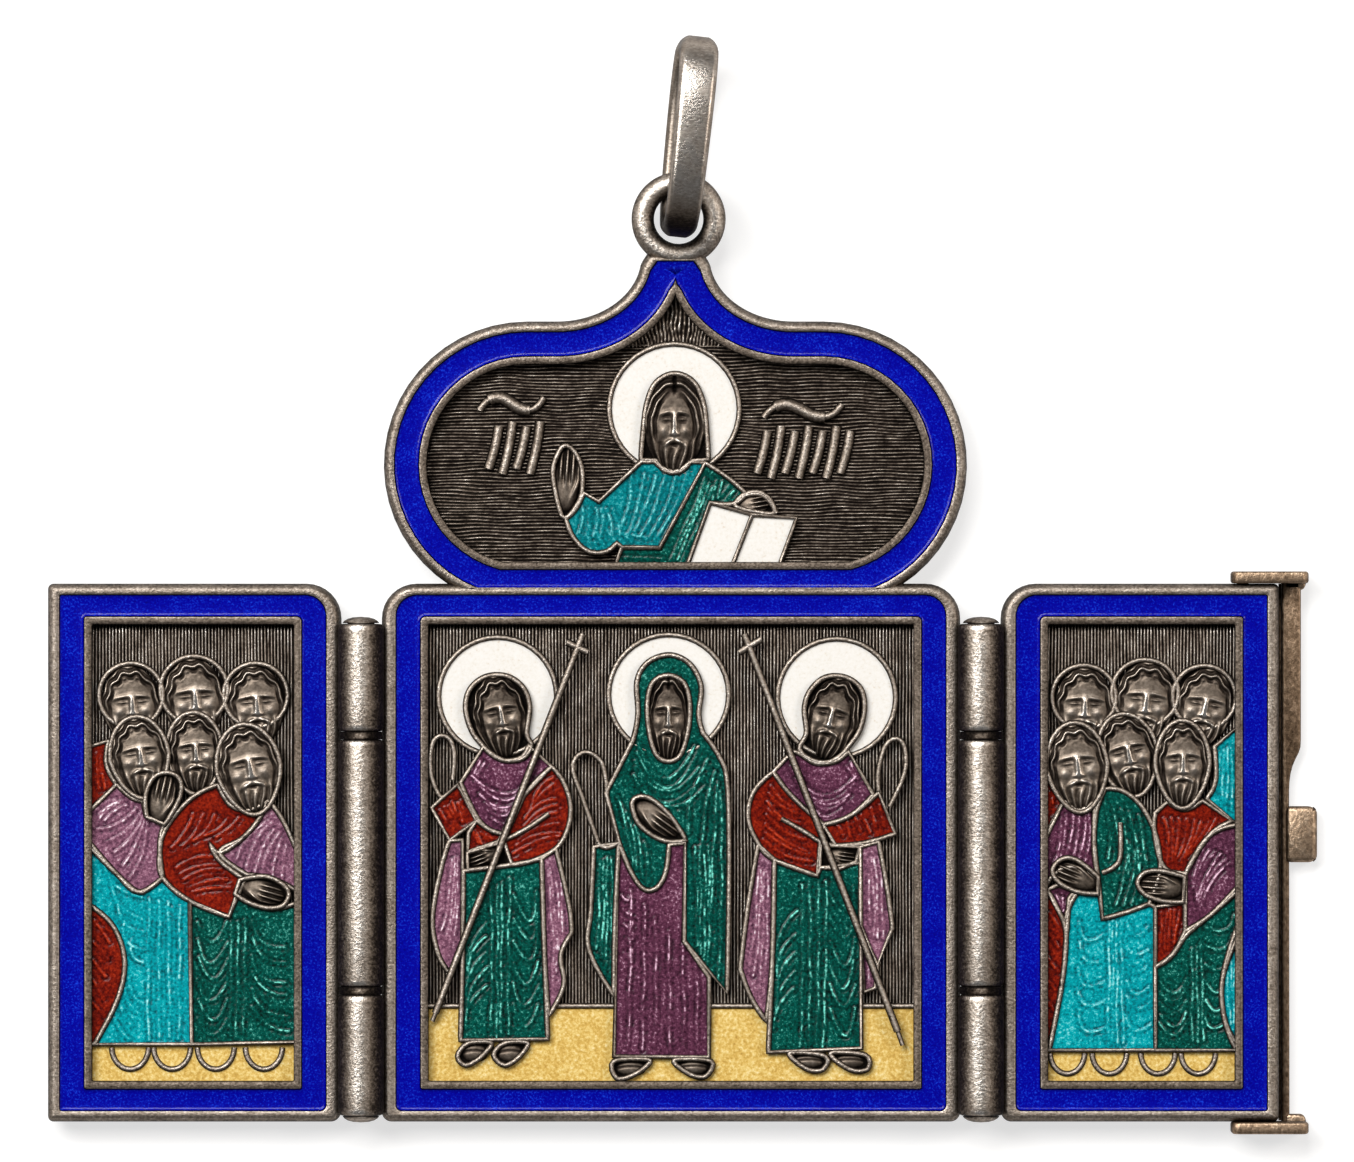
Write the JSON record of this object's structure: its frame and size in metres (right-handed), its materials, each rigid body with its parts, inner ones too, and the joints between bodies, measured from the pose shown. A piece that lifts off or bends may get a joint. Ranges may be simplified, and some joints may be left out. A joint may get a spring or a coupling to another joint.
{
  "type": "folding triptych pendant icon",
  "caption": "Folding pendant icon: a crested centre leaf with an eyelet and bail, and two hinged wings that close face to face under a clip.",
  "frame": {"origin": "middle of the centre leaf's flat back face", "axes": "+X to the right along the open wings, +Y from the foot of the leaves towards the bail, +Z out of the enamelled fronts"},
  "size_m": [0.0634, 0.0547, 0.0061],
  "materials": {
    "silver": "cast silver, oxidised dark in the recesses and rubbed bright on the edges",
    "blue_enamel": "glossy opaque cobalt enamel"
  },
  "bodies": {
    "centre": {"centre_leaf": "silver", "left_hinge_pin": "silver", "right_hinge_pin": "silver", "bail": "silver", "centre_border_enamel": "blue_enamel", "crest_border_enamel": "blue_enamel"},
    "left_wing": {"left_wing": "silver", "left_border_enamel": "blue_enamel"},
    "right_wing": {"right_wing": "silver", "right_border_enamel": "blue_enamel"},
    "clasp": {"clasp_clip": "silver"}
  },
  "joints": [
    {"name": "left_wing_hinge", "type": "hinge", "parent": "centre", "child": "left_wing", "pos_m": [-0.01545, 0, 0.0021], "axis": [0, 1, 0], "range_deg": [0, 180]},
    {"name": "right_wing_hinge", "type": "hinge", "parent": "centre", "child": "right_wing", "pos_m": [0.01545, 0, 0.0021], "axis": [0, -1, 0], "range_deg": [0, 180]},
    {"name": "clasp_hinge", "type": "hinge", "parent": "right_wing", "child": "clasp", "pos_m": [0.02855, 0, 0.0008], "axis": [0, 1, 0], "range_deg": [0, 110]}
  ]
}
